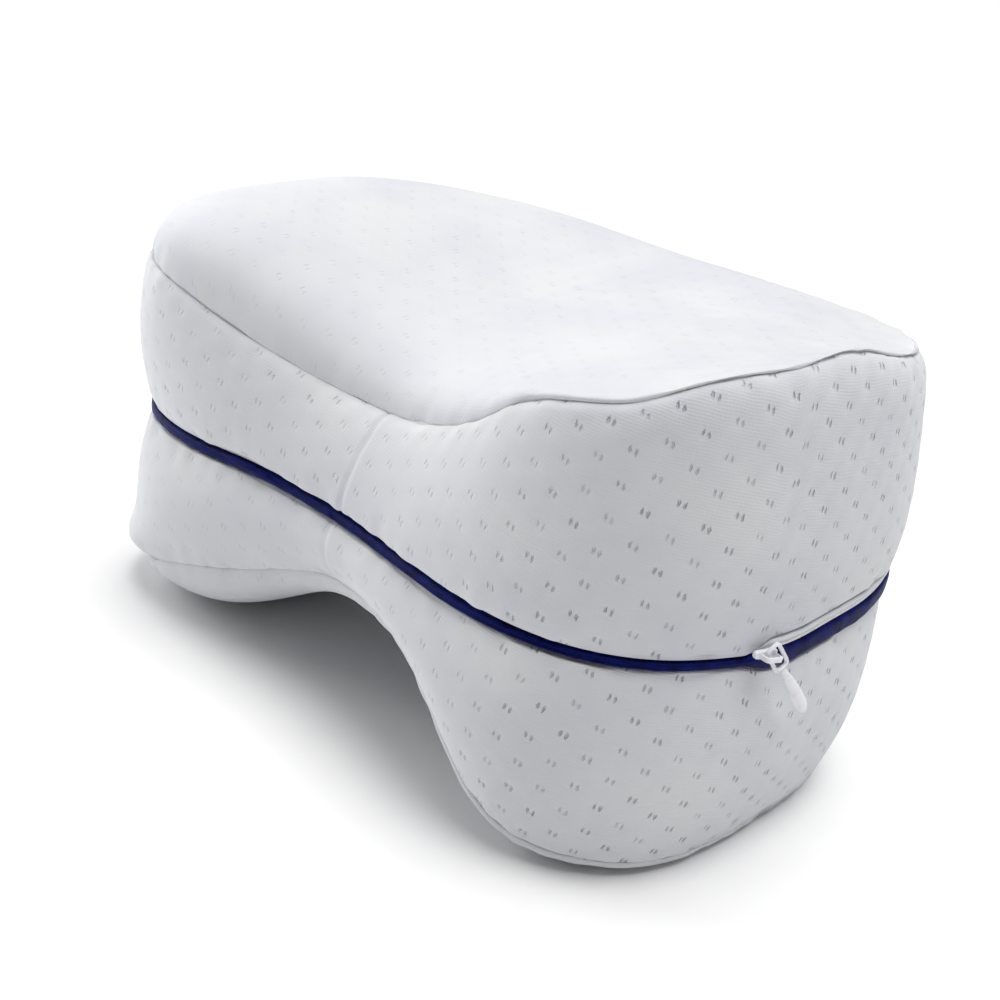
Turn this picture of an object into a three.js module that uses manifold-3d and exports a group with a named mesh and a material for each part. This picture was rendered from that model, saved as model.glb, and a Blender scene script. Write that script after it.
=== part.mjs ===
// Knee pillow: a filled leg cushion in a sewn cover, with a blue binding round its middle
// and a zip at one end. Millimetres, +Z up, +X towards the zip end, -Y towards the waisted side.
// The cushion is one filled solid: flat feet, an arch under it for the lower leg, a saddle in
// its upper front edge for the upper leg, and sewn seams where the cover's panels meet.

import * as THREE from 'three';
import { mergeVertices } from 'three/addons/utils/BufferGeometryUtils.js';
import Module from 'manifold-3d';

// Outline of the cover at the binding, seen from above
const HALF_LENGTH = 125;
const HALF_WIDTH = 87;
const FAR_CORNER = 3.8;          // corner power of the squarer end, at -X
const NEAR_CORNER = 3.0;         // corner power of the rounder zip end, at +X
const WAIST_DEPTH = 14.5;        // how far the front side is drawn in at the binding
const WAIST_REACH = 66;
const FRONT_FADE = 25;           // the waist dies out over this distance from the middle line

// Binding and zip line
const BINDING_HEIGHT = 70;       // height of its centre line above the table
const BINDING_BUMPS = [[165, 20, -2.6], [-38, 25, 1.3]];   // place along it, reach, height
const BINDING_RISE = 1.7;        // round the zip lobe's corner it runs higher
const BINDING_RISE_RUNS = { start: 195, full: 225, fade: 300, end: 340 };
const BINDING_HALF_WIDE = 1.95;  // half its width at the far end
const BINDING_HALF_SLIM = 1.25;  // half its width on the front of the zip lobe
const BINDING_DEPTH = 1.9;       // half its thickness, measured outwards
const BINDING_OUT = 0.1;         // its centre lies this far outside the seam line
const BINDING_SIDES = 8;
const SLIM_STATIONS = { from: 6, full: 13, until: 66, end: 72 };
const CHANNEL_DEPTH = 2.6;       // the sewn channel that the binding sits in
const CLEARANCE = 0.45;

// Upper seam: the edge of the top panel
const TOP_SEAM_HEIGHT = 134.5;
const TOP_SEAM_RISE = 14.5;      // higher by this at the zip end, lower at the far end
const TOP_TILT = -5;             // the seam falls by this from the middle line to the back
const SADDLE_DEPTH = 42;         // the dip in the front edge, gone at the back edge
const SADDLE_REACH = 76;
const SADDLE_CENTRE = 7;
const SEAM_BUMPS = [[-15, 30, 0.9], [69, 14, 3.3], [102, 13, -2.4], [133, 16, 1.5], [172, 24, 5.2]];
const WAVE_POWER = 7;            // how fast the seam's bumps die away inwards
const TOP_INSET = 1;
const TOP_INSET_SLOPE = 5.5;
const TOP_WAIST = 25;
const TOP_WAIST_REACH = 68;
const CROWN = 16;                // rise of the top panel over its seam, at mid length
const CROWN_SLOPE = -13;         // flatter at the zip end, fuller at the far end
const FAR_DOME = { x: -105, y: 15, reach: 38, height: 3.8 };
const NEAR_FLATNESS = 3.6;
const NEAR_FLAT_FROM = { start: 40, full: 95 };
const PANEL_ROUNDING = 6;        // power of the panels' rounded rims
const PANEL_LIP = 0.8;           // the step from the stitched valley up to a panel

// Lower seam: the edge of the bottom panel, which lies over the arch
const ARCH_HEIGHT = 39.5;
const ARCH_BACK = 0.75;          // share of the arch's height that is left at the back
const ARCH_CENTRE = 6;
const ARCH_REACH = { far: 60.5, near: 62.5 };
const ARCH_POWER = { far: 2.35, near: 3.7 };   // the zip lobe's side of the arch is steeper
const SOLE_ROUNDING = 11.3;      // height of the lower seam over the sole at mid length
const SOLE_SLOPE = -3.7;
const SOLE_BUMPS = [[-70, 29, 7], [97, 20, 1.8]];   // lobes that swell down further from their seam
const SOLE_CUT = 3.5;            // the filling is pressed flat by this much at the table
const BOTTOM_INSET = -0.1;
const BOTTOM_INSET_SLOPE = 3.8;
const BOTTOM_WAIST = 19.5;
const BOTTOM_WAIST_REACH = 61.5;
const BOTTOM_SHEAR = -3.8;       // the zip lobe's foot stands this much further forward

// Band panels between the seams and the binding
const UPPER_BULGE = 4.3;
const UPPER_FULLNESS = 0.6;      // below 1 the band is fuller near its seams
const LOWER_BULGE = 5.6;
const LOWER_BULGE_AT_ENDS = 4.1;
const END_FROM = { start: 75, full: 112 };
const NEAR_FLARE = 1.3;          // the zip end's upper corner is fuller
const FAR_FLARE = 5.8;           // the far lobe's foot stands out over its sole
const FAR_FLARE_FROM = { start: -70, full: -116 };
const FLARE_POWER = 9;
const FLARE_CREST = 0.0387;      // the greatest value of t^9 (1 - t)
const SEAM_DEPTH = 1.1;

// Zip: a flap under it, then the tape, then the folded hem of the upper cover
const ZIP_HALF_FLAP = 2.25;      // half the width of the flap that the binding becomes
const ZIP_SPACE = 4.3;           // extra channel above the flap for tape and folded hem
const ZIP_GAP = 0.35;            // between flap, tape and hem
const ZIP_TAPE_WIDTH = 1.5;
const ZIP_HEM_WIDTH = 1.7;
const ZIP_BACK = -1.4;           // tape and hem reach in to here from the seam line
const ZIP_END_GAP = 0.75;        // stations between their ends and the slot's ends
const TAPE_FACE = { low: 0.2, crest: 0.6, high: 0 };
const HEM_FACE = { low: 0.5, crest: 1.1, high: 0.5 };
const ZIP_FIRST = 20;            // station of the slider, counted from the front middle
const ZIP_LAST = 61;             // station where the zip ends, at the back

// Where the binding's ends meet, one end laps over the other
const LAP_FIRST = 89.3;
const LAP_LAST = 92.7;
const LAP_GAP = 0.35;
const LAP_HALF_HIGH = 1.5;
const LAP_THICK = 0.85;
const LAP_TOE = { out: 0.4, down: 2 };
const LAP_TAPER = 0.5;           // share of its thickness that is lost towards its ends

// Slider and pull
const SLIDER_LENGTH = 8.6;
const SLIDER_WIDTH = 3.2;
const SLIDER_PLATE = 1.5;
const SLIDER_NOSE = 0.7;         // the nose is this much narrower than the plate
const SLIDER_CORNER = 1;
const SLIDER_BEVEL = 0.35;
const SLIDER_OUT = 2.2;          // the plate's back, measured out from the binding line
const SLIDER_UP = 3.6;           // its middle lies on the zip tape, over the flap's edge
const SLIDER_DIP = 9;            // degrees that its tail hangs down, under the pull's weight
const BRIDGE_LENGTH = 6.6;
const BRIDGE_HEIGHT = 3.5;
const BRIDGE_WALL = 0.8;
const BRIDGE_WIDTH = 1.3;
const BRIDGE_OFFSET = 0.4;
const BRIDGE_CORNER = 1.5;
const BRIDGE_SUNK = 0.3;
const PULL_WIDTH = 5.4;
const PULL_WINDOW = 9;           // length of the windowed frame
const PULL_BAR = 1.05;
const PULL_CORNER = 1.8;
const PULL_WINDOW_CORNER = 1;
const PULL_BEVEL = 0.25;
const PULL_GAP = 0.4;            // between the slider's plate and the pull
const PULL_PLACE = { along: 0.05, up: 2.7 };  // its top bar, pushed up past the bridge
const LEAF_LENGTH = 19.3;
const LEAF_HALF_WIDTH = 2;
const LEAF_HALF_DEPTH = 0.8;
const LEAF_OVERLAP = 0.8;        // its root is buried this deep in the frame
const LEAF_ROOT = 0.45;          // share of its width at the root
const LEAF_WIDEST = 0.6;         // share of its length where it is widest
const LEAF_TIP = 0.26;           // share of its length that the rounded tip takes
const PULL_TURN = 44.5;          // degrees from the slider's own down, towards the back
const PULL_LEAN = 8;             // degrees that it leans off the cover

// Mesh fineness
const AROUND = 96;
const DENSE = 1440;
const PANEL_RATIOS = [0.3, 0.54, 0.71, 0.82, 0.9, 0.955, 0.985];
const BAND_STEPS = [0.05, 0.2, 0.4, 0.6, 0.8, 0.93];
const LEAF_STEPS = 16;
const LEAF_SIDES = 14;
const WELD = 1e-4;

const bell = (x, reach) => Math.exp(-((x / reach) ** 2));
const smooth = (a, b, x) => {
  const t = Math.min(1, Math.max(0, (x - a) / (b - a)));
  return t * t * (3 - 2 * t);
};

// A superellipse drawn in at the front. The inset grows from one end to the other.
function outline(angle, inset = 0, insetSlope = 0, waist = WAIST_DEPTH, reach = WAIST_REACH, shear = 0) {
  const c = Math.cos(angle);
  const s = Math.sin(angle);
  const power = 2 / (c < 0 ? FAR_CORNER : NEAR_CORNER);
  const ex = Math.sign(c) * Math.abs(c) ** power;
  const ey = Math.sign(s) * Math.abs(s) ** power;
  const gap = inset + insetSlope * ex;
  const x = (HALF_LENGTH - gap) * ex;
  const y = (HALF_WIDTH - gap) * ey;
  const front = 0.5 * (1 - Math.tanh(y / FRONT_FADE));
  return [x, y + front * waist * bell(x, reach) + (shear * x) / HALF_LENGTH];
}

// Angles of evenly spaced stations along the binding, from the front middle towards the zip end,
// and the pitch between them
function evenAngles(count) {
  const start = 1.5 * Math.PI;
  const lengths = [0];
  let last = outline(start);
  for (let k = 1; k <= DENSE; k++) {
    const point = outline(start + (k / DENSE) * 2 * Math.PI);
    lengths.push(lengths[k - 1] + Math.hypot(point[0] - last[0], point[1] - last[1]));
    last = point;
  }
  const angles = [];
  let k = 0;
  for (let i = 0; i < count; i++) {
    const wanted = (i / count) * lengths[DENSE];
    while (lengths[k + 1] < wanted) k++;
    const part = (wanted - lengths[k]) / (lengths[k + 1] - lengths[k]);
    angles.push(start + ((k + part) / DENSE) * 2 * Math.PI);
  }
  return { angles, pitch: lengths[DENSE] / count };
}

const bumps = (x, rows) =>
  rows.reduce((sum, [place, reach, height]) => sum + height * bell(x - place, reach), 0);

const saddleFade = (y) => Math.min(1, Math.max(0, (HALF_WIDTH - y) / (2 * HALF_WIDTH)));
const topSeamHeight = (x, y) =>
  TOP_SEAM_HEIGHT + (TOP_SEAM_RISE * x) / HALF_LENGTH + (TOP_TILT * y) / HALF_WIDTH -
  SADDLE_DEPTH * bell(x - SADDLE_CENTRE, SADDLE_REACH) * saddleFade(y);
const archHeight = (x, y) => {
  const side = x < ARCH_CENTRE ? 'far' : 'near';
  const profile = Math.exp(-(Math.abs((x - ARCH_CENTRE) / ARCH_REACH[side]) ** ARCH_POWER[side]));
  return ARCH_HEIGHT * (ARCH_BACK + (1 - ARCH_BACK) * saddleFade(y)) * profile;
};
const soleRounding = (x) => SOLE_ROUNDING + (SOLE_SLOPE * x) / HALF_LENGTH + bumps(x, SOLE_BUMPS);
const crownHeight = (x, y) => {
  const { start, full } = NEAR_FLAT_FROM;
  const even = CROWN + (CROWN_SLOPE * x) / HALF_LENGTH - NEAR_FLATNESS * smooth(start, full, x);
  const { reach, height } = FAR_DOME;
  return even + height * bell(x - FAR_DOME.x, reach) * bell(y - FAR_DOME.y, reach);
};
const rim = (ratio) => Math.sqrt(1 - ratio ** PANEL_ROUNDING);

const { angles, pitch } = evenAngles(AROUND);
const bindingLine = angles.map((a) => outline(a));
// Outward direction of the binding line at each station
const outward = bindingLine.map((point, i) => {
  const next = bindingLine[(i + 1) % AROUND];
  const before = bindingLine[(i + AROUND - 1) % AROUND];
  const dx = next[0] - before[0];
  const dy = next[1] - before[1];
  const length = Math.hypot(dx, dy);
  return [dy / length, -dx / length];
});
// Length along the binding from the front middle, negative towards the far end
const signedAlong = (i) => (i > AROUND / 2 ? i - AROUND : i) * pitch;
const seamWave = (i) => bumps(signedAlong(i), SEAM_BUMPS);
// Height of the binding's centre line, which sags at the slider and rises round the corner
const bindingHeight = (i) => {
  const { start, full, fade, end } = BINDING_RISE_RUNS;
  const s = signedAlong(i);
  const rise = smooth(start, full, s) * (1 - smooth(fade, end, s));
  return BINDING_HEIGHT + bumps(s, BINDING_BUMPS) + BINDING_RISE * rise;
};
const zipShare = (i) =>
  smooth(ZIP_FIRST - 1.5, ZIP_FIRST + 1, i) * (1 - smooth(ZIP_LAST - 1, ZIP_LAST + 1.5, i));
// Half width of the binding: slim where the zip lobe bulges, wide elsewhere
const bindingHalf = (i) => {
  const { from, full, until, end } = SLIM_STATIONS;
  const slim = smooth(from, full, i) * (1 - smooth(until, end, i));
  return BINDING_HALF_WIDE + (BINDING_HALF_SLIM - BINDING_HALF_WIDE) * slim;
};
const blueHalf = (i) => bindingHalf(i) + (ZIP_HALF_FLAP - bindingHalf(i)) * zipShare(i);
const channelBelow = (i) => blueHalf(i) + CLEARANCE;
const channelAbove = (i) => blueHalf(i) + CLEARANCE + ZIP_SPACE * zipShare(i);

// A point at a station of the binding line, moved outwards and upwards. Between two stations
// it lies on the straight line that joins them.
function atStation(station, out, up) {
  const low = Math.floor(station);
  const part = station - low;
  const [from, to] = [low, low + 1].map((i) => {
    const k = (i + AROUND) % AROUND;
    return [...[0, 1].map((n) => bindingLine[k][n] + outward[k][n] * out), bindingHeight(k) + up];
  });
  return [0, 1, 2].map((n) => from[n] + (to[n] - from[n]) * part);
}

// Rings from the middle of the sole, up the sides, to the middle of the top
function cushionRings() {
  const rings = [];
  const around = (make) => rings.push(angles.map((angle, i) => make(angle, i)));
  const bottomEdge = (angle, extra = 0) => {
    const inset = BOTTOM_INSET + extra;
    return outline(angle, inset, BOTTOM_INSET_SLOPE, BOTTOM_WAIST, BOTTOM_WAIST_REACH, BOTTOM_SHEAR);
  };
  const topEdge = (angle, extra = 0) =>
    outline(angle, TOP_INSET + extra, TOP_INSET_SLOPE, TOP_WAIST, TOP_WAIST_REACH);
  const solePoint = (x, y, ratio) => {
    const rise = PANEL_LIP + (soleRounding(x) - PANEL_LIP) * rim(ratio);
    return [x, y, Math.max(0, archHeight(x, y) + soleRounding(x) - rise - SOLE_CUT)];
  };
  const topPoint = (x, y, ratio, wave = 0) => {
    const rise = PANEL_LIP + (crownHeight(x, y) - PANEL_LIP) * rim(ratio);
    return [x, y, topSeamHeight(x, y) + wave * ratio ** WAVE_POWER + rise];
  };
  const lowSeam = (x, y) => archHeight(x, y) + soleRounding(x) - SOLE_CUT;
  const flare = (t) => (t ** FLARE_POWER * (1 - t)) / FLARE_CREST;

  for (const ratio of [...PANEL_RATIOS, 1]) {
    around((angle) => {
      const [x, y] = bottomEdge(angle);
      return solePoint(x * ratio, y * ratio, ratio);
    });
  }
  around((angle) => {
    const [x, y] = bottomEdge(angle, SEAM_DEPTH);
    return [x, y, lowSeam(x, y)];
  });
  for (const t of BAND_STEPS) {
    around((angle, i) => {
      const [x, y] = bottomEdge(angle);
      const lip = atStation(i, 0, -channelBelow(i));
      const low = [x, y, lowSeam(x, y)];
      const end = smooth(END_FROM.start, END_FROM.full, Math.abs(x));
      const depth = LOWER_BULGE + (LOWER_BULGE_AT_ENDS - LOWER_BULGE) * end;
      const foot = FAR_FLARE * smooth(-FAR_FLARE_FROM.start, -FAR_FLARE_FROM.full, -x);
      const bulge = depth * 4 * t * (1 - t) + foot * flare(1 - t);
      return [0, 1, 2].map((n) => low[n] * (1 - t) + lip[n] * t + (n < 2 ? outward[i][n] * bulge : 0));
    });
  }
  around((angle, i) => atStation(i, 0, -channelBelow(i)));
  around((angle, i) => atStation(i, -CHANNEL_DEPTH, -channelBelow(i)));
  around((angle, i) => atStation(i, -CHANNEL_DEPTH, channelAbove(i)));
  around((angle, i) => atStation(i, 0, channelAbove(i)));
  for (const t of BAND_STEPS.map((step) => 1 - step).reverse()) {
    around((angle, i) => {
      const [x, y] = topEdge(angle);
      const lip = atStation(i, 0, channelAbove(i));
      const high = [x, y, topSeamHeight(x, y) + seamWave(i)];
      const corner = NEAR_FLARE * smooth(END_FROM.start, END_FROM.full, x);
      const bulge = UPPER_BULGE * (4 * t * (1 - t)) ** UPPER_FULLNESS + corner * flare(t);
      return [0, 1, 2].map((n) => lip[n] * (1 - t) + high[n] * t + (n < 2 ? outward[i][n] * bulge : 0));
    });
  }
  around((angle, i) => {
    const [x, y] = topEdge(angle, SEAM_DEPTH);
    return [x, y, topSeamHeight(x, y) + seamWave(i)];
  });
  for (const ratio of [...PANEL_RATIOS, 1].reverse()) {
    around((angle, i) => {
      const [x, y] = topEdge(angle);
      return topPoint(x * ratio, y * ratio, ratio, seamWave(i));
    });
  }
  return { rings, sole: solePoint(0, 0, 0), crown: topPoint(0, 0, 0) };
}

function indexed(points, faces) {
  const geometry = new THREE.BufferGeometry();
  geometry.setAttribute('position', new THREE.Float32BufferAttribute(points.flat(), 3));
  geometry.setIndex(faces.flat());
  return geometry;
}

// A closed body from rings that run round it, with a single point at each end
function pillowBody({ rings, sole, crown }) {
  const points = [...rings.flat(), sole, crown];
  const faces = [];
  for (let row = 0; row < rings.length - 1; row++) {
    for (let i = 0; i < AROUND; i++) {
      const j = (i + 1) % AROUND;
      const a = row * AROUND + i;
      const b = row * AROUND + j;
      const c = a + AROUND;
      const d = b + AROUND;
      faces.push([a, b, d], [a, d, c]);
    }
  }
  const last = (rings.length - 1) * AROUND;
  for (let i = 0; i < AROUND; i++) {
    const j = (i + 1) % AROUND;
    faces.push([points.length - 2, j, i], [points.length - 1, last + i, last + j]);
  }
  return indexed(points, faces);
}

// A strip along the binding line: a cross-section of [out, up] points at each station, listed
// clockwise when one looks along the strip. It is capped at both ends, or it closes on itself.
function strip(first, last, section, closed = false) {
  const stations = [first];
  for (let i = Math.floor(first) + 1; i < last; i++) stations.push(i);
  if (!closed) stations.push(last);
  const points = [];
  const faces = [];
  const sides = section(first).length;
  for (const station of stations) {
    for (const [out, up] of section(station)) points.push(atStation(station, out, up));
  }
  const rows = closed ? stations.length : stations.length - 1;
  for (let row = 0; row < rows; row++) {
    const next = (row + 1) % stations.length;
    for (let n = 0; n < sides; n++) {
      const m = (n + 1) % sides;
      const [a, b, c, d] = [row * sides + n, row * sides + m, next * sides + n, next * sides + m];
      faces.push([a, b, d], [a, d, c]);
    }
  }
  if (!closed) {
    const end = (stations.length - 1) * sides;
    for (let n = 1; n < sides - 1; n++) {
      faces.push([0, n + 1, n], [end, end + n, end + n + 1]);
    }
  }
  return indexed(points, faces);
}

// The binding's oval cross-section
function oval(halfHigh) {
  const loop = [];
  for (let n = 0; n < BINDING_SIDES; n++) {
    const a = ((n + 0.5) / BINDING_SIDES) * 2 * Math.PI;
    loop.push([BINDING_OUT + BINDING_DEPTH * Math.cos(a), halfHigh * Math.sin(a)]);
  }
  return loop.reverse();
}

const { Manifold, Mesh } = await (async () => {
  const wasm = await Module();
  wasm.setup();
  return wasm;
})();

// Joins two closed shapes into one body
function join(one, other) {
  const [first, second] = [one, other].map((geometry) => {
    geometry.deleteAttribute('normal');
    geometry.deleteAttribute('uv');
    const merged = mergeVertices(geometry, WELD);
    return new Manifold(new Mesh({
      numProp: 3,
      vertProperties: new Float32Array(merged.attributes.position.array),
      triVerts: new Uint32Array(merged.index.array),
    }));
  });
  const whole = first.add(second).getMesh();
  const geometry = new THREE.BufferGeometry();
  geometry.setAttribute('position', new THREE.BufferAttribute(whole.vertProperties, 3));
  geometry.setIndex(Array.from(whole.triVerts));
  return geometry;
}

// The slider lies in its own plane: x along the zip, y up, z out from the cover
function sliderGeometry() {
  const half = SLIDER_WIDTH / 2;
  const end = SLIDER_LENGTH / 2;
  const nose = half * SLIDER_NOSE;
  const plate = new THREE.Shape();
  plate.moveTo(nose - end, -nose);
  plate.lineTo(end - SLIDER_CORNER, -half);
  plate.quadraticCurveTo(end, -half, end, SLIDER_CORNER - half);
  plate.lineTo(end, half - SLIDER_CORNER);
  plate.quadraticCurveTo(end, half, end - SLIDER_CORNER, half);
  plate.lineTo(nose - end, nose);
  plate.absarc(nose - end, 0, nose, Math.PI / 2, 1.5 * Math.PI, false);
  const body = new THREE.ExtrudeGeometry(plate, {
    depth: SLIDER_PLATE - 2 * SLIDER_BEVEL,
    bevelThickness: SLIDER_BEVEL,
    bevelSize: SLIDER_BEVEL,
    bevelOffset: -SLIDER_BEVEL,
    bevelSegments: 2,
    curveSegments: 6,
  });
  body.translate(0, 0, SLIDER_BEVEL);
  // The bridge: a squarish arch over the plate that holds the pull
  const arch = new THREE.Shape();
  const outer = BRIDGE_LENGTH / 2;
  const inner = outer - BRIDGE_WALL;
  const under = BRIDGE_HEIGHT - BRIDGE_WALL;
  const innerCorner = BRIDGE_CORNER - BRIDGE_WALL;
  arch.moveTo(-outer, 0);
  arch.lineTo(-outer, BRIDGE_HEIGHT - BRIDGE_CORNER);
  arch.quadraticCurveTo(-outer, BRIDGE_HEIGHT, BRIDGE_CORNER - outer, BRIDGE_HEIGHT);
  arch.lineTo(outer - BRIDGE_CORNER, BRIDGE_HEIGHT);
  arch.quadraticCurveTo(outer, BRIDGE_HEIGHT, outer, BRIDGE_HEIGHT - BRIDGE_CORNER);
  arch.lineTo(outer, 0);
  arch.lineTo(inner, 0);
  arch.lineTo(inner, under - innerCorner);
  arch.quadraticCurveTo(inner, under, inner - innerCorner, under);
  arch.lineTo(innerCorner - inner, under);
  arch.quadraticCurveTo(-inner, under, -inner, under - innerCorner);
  arch.lineTo(-inner, 0);
  const bridge = new THREE.ExtrudeGeometry(arch, {
    depth: BRIDGE_WIDTH, bevelEnabled: false, curveSegments: 6,
  });
  bridge.translate(0, 0, -BRIDGE_WIDTH / 2);
  bridge.rotateX(Math.PI / 2);
  bridge.translate(BRIDGE_OFFSET, 0, SLIDER_PLATE - BRIDGE_SUNK);
  return join(body, bridge);
}

// The pull lies in its own plane: its window round the origin, its leaf down -y
function pullGeometry() {
  const rounded = (width, top, bottom, radius) => {
    const shape = new THREE.Shape();
    shape.moveTo(-width / 2 + radius, bottom);
    shape.lineTo(width / 2 - radius, bottom);
    shape.quadraticCurveTo(width / 2, bottom, width / 2, bottom + radius);
    shape.lineTo(width / 2, top - radius);
    shape.quadraticCurveTo(width / 2, top, width / 2 - radius, top);
    shape.lineTo(-width / 2 + radius, top);
    shape.quadraticCurveTo(-width / 2, top, -width / 2, top - radius);
    shape.lineTo(-width / 2, bottom + radius);
    shape.quadraticCurveTo(-width / 2, bottom, -width / 2 + radius, bottom);
    return shape;
  };
  const top = PULL_BAR / 2;
  const bottom = top - PULL_WINDOW;
  const frame = rounded(PULL_WIDTH, top, bottom, PULL_CORNER);
  const hole = rounded(PULL_WIDTH - 2 * PULL_BAR, top - PULL_BAR, bottom + PULL_BAR, PULL_WINDOW_CORNER);
  frame.holes.push(hole);
  const windowed = new THREE.ExtrudeGeometry(frame, {
    depth: PULL_BAR - 2 * PULL_BEVEL,
    bevelThickness: PULL_BEVEL,
    bevelSize: PULL_BEVEL,
    bevelOffset: -PULL_BEVEL,
    bevelSegments: 1,
    curveSegments: 4,
  });
  windowed.translate(0, 0, PULL_BEVEL - PULL_BAR / 2);
  // The leaf: a flattened bar that swells towards a rounded tip
  const profile = [];
  for (let k = 0; k <= LEAF_STEPS; k++) {
    const t = 1 - (1 - k / LEAF_STEPS) ** 1.3;
    const swell = LEAF_ROOT + (1 - LEAF_ROOT) * smooth(0, LEAF_WIDEST, t);
    const tip = Math.sqrt(Math.max(0, 1 - Math.max(0, (t - 1 + LEAF_TIP) / LEAF_TIP) ** 2));
    profile.push(new THREE.Vector2(k === 0 || k === LEAF_STEPS ? 0 : swell * tip, -t * LEAF_LENGTH));
  }
  const leaf = new THREE.LatheGeometry(profile.reverse(), LEAF_SIDES);
  leaf.scale(LEAF_HALF_WIDTH, 1, LEAF_HALF_DEPTH);
  leaf.translate(0, bottom + LEAF_OVERLAP, 0);
  return join(windowed, leaf);
}

const materials = {
  cover: new THREE.MeshStandardMaterial({ color: 0xe6e7ec, roughness: 0.95, metalness: 0 }),
  blue: new THREE.MeshStandardMaterial({ color: 0x10206a, roughness: 0.6, metalness: 0 }),
  white: new THREE.MeshStandardMaterial({ color: 0xdfe0e2, roughness: 0.8, metalness: 0 }),
  metal: new THREE.MeshStandardMaterial({ color: 0xd9d9df, roughness: 0.35, metalness: 0.4 }),
};

function piece(name, geometry, material) {
  const mesh = new THREE.Mesh(geometry, material.clone());
  mesh.name = name;
  return mesh;
}

const pillow = new THREE.Group();
const add = (name, geometry, material) => pillow.add(piece(name, geometry, material));

add('cushion', pillowBody(cushionRings()), materials.cover);

// The binding runs all the way round. Past the slider it widens into the flap under the zip.
add('binding', strip(0, AROUND, (i) => oval(blueHalf(i)), true), materials.blue);

// The end of the tape that laps over the other end, thickest in its middle
const LAP_OUT = BINDING_OUT + BINDING_DEPTH + LAP_GAP;
add('binding_lap', strip(LAP_FIRST, LAP_LAST, (i) => {
  const middle = (LAP_FIRST + LAP_LAST) / 2;
  const taper = 1 - (LAP_TAPER * Math.abs(i - middle)) / (middle - LAP_FIRST);
  const face = LAP_OUT + LAP_THICK * taper;
  return [
    [LAP_OUT, -LAP_HALF_HIGH],
    [LAP_OUT, LAP_HALF_HIGH * taper],
    [face, LAP_HALF_HIGH * taper * 0.75],
    [face, -LAP_HALF_HIGH * 0.8],
    [LAP_OUT + LAP_TOE.out, -LAP_TOE.down],
  ];
}), materials.blue);

// The white zip tape in the slot above the flap, and the folded hem of the upper cover over it
const TAPE_LOW = ZIP_HALF_FLAP + ZIP_GAP;
const HEM_LOW = TAPE_LOW + ZIP_TAPE_WIDTH + ZIP_GAP;
function zipStrip(low, width, face) {
  return strip(ZIP_FIRST + ZIP_END_GAP, ZIP_LAST - ZIP_END_GAP, () => [
    [face.low, low],
    [ZIP_BACK, low],
    [ZIP_BACK, low + width],
    [face.high, low + width],
    [face.crest, low + width / 2],
  ]);
}
add('zip_tape', zipStrip(TAPE_LOW, ZIP_TAPE_WIDTH, TAPE_FACE), materials.white);
add('zip_hem', zipStrip(HEM_LOW, ZIP_HEM_WIDTH, HEM_FACE), materials.cover);

// Slider and pull, turned to the cover's outward direction at the slider's station
const slider = new THREE.Group();
const seat = atStation(ZIP_FIRST, SLIDER_OUT, SLIDER_UP);
const facing = outward[ZIP_FIRST];
slider.position.set(...seat);
slider.rotation.order = 'ZYX';
slider.rotation.set(Math.PI / 2, 0, Math.atan2(facing[1], facing[0]) + Math.PI / 2);
slider.rotateZ(THREE.MathUtils.degToRad(-SLIDER_DIP));
slider.add(piece('zip_slider', sliderGeometry(), materials.metal));
const pull = piece('zip_pull', pullGeometry(), materials.metal);
pull.rotation.order = 'ZXY';
pull.rotation.set(THREE.MathUtils.degToRad(-PULL_LEAN), 0, THREE.MathUtils.degToRad(PULL_TURN));
pull.position.set(PULL_PLACE.along, PULL_PLACE.up, SLIDER_PLATE + PULL_GAP + PULL_BAR / 2);
slider.add(pull);
pillow.add(slider);

// The object's origin is the middle of its box, at the table
const box = new THREE.Box3().setFromObject(pillow, true);
const centre = box.getCenter(new THREE.Vector3());
pillow.position.set(-centre.x, -centre.y, -box.min.z);

export default pillow;
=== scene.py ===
# %% [markdown]
# # A contoured knee pillow
# The real thing is a block of moulded foam in a sewn cover of white double-knit cloth. A blue
# piping runs round its middle, and a zip takes over above the piping at one end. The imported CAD
# model gives every place and size. This script swaps its plain solids for finely worked
# surfaces, and gives each one the finish of the real material.

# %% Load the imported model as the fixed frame
import math

import bpy
import numpy as np
from mathutils import Matrix, Vector


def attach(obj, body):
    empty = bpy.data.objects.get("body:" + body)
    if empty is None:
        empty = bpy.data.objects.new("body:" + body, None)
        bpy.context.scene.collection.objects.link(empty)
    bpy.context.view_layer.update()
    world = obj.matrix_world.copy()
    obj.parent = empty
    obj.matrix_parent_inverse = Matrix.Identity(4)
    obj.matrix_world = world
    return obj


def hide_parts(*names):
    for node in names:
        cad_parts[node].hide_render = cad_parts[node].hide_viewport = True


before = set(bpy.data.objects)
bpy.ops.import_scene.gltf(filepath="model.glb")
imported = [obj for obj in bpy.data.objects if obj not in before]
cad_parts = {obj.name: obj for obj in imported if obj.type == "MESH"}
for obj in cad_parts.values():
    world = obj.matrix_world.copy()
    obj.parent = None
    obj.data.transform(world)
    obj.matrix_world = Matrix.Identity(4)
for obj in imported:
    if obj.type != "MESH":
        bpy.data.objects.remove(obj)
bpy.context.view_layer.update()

MM = 0.001

# %% [markdown]
# The camera comes first, because everything is judged through it. Its place and its three
# angles were worked out by fitting the pillow's outline to the photograph: it stands in front
# and to the right, looks down by 23 degrees and leans over by 8 degrees.

# %% Camera at the photograph's viewing angle
CAMERA_PLACE = (0.2979, -0.3234, 0.2465)
CAMERA_AZIMUTH = math.radians(43.16)
CAMERA_ELEVATION = math.radians(23.14)
CAMERA_ROLL = math.radians(8.14)
SENSOR_WIDTH = 36.0
IMAGE_WIDTH = 1000
FOCAL_LENGTH_IN_PIXELS = 1401


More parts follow.
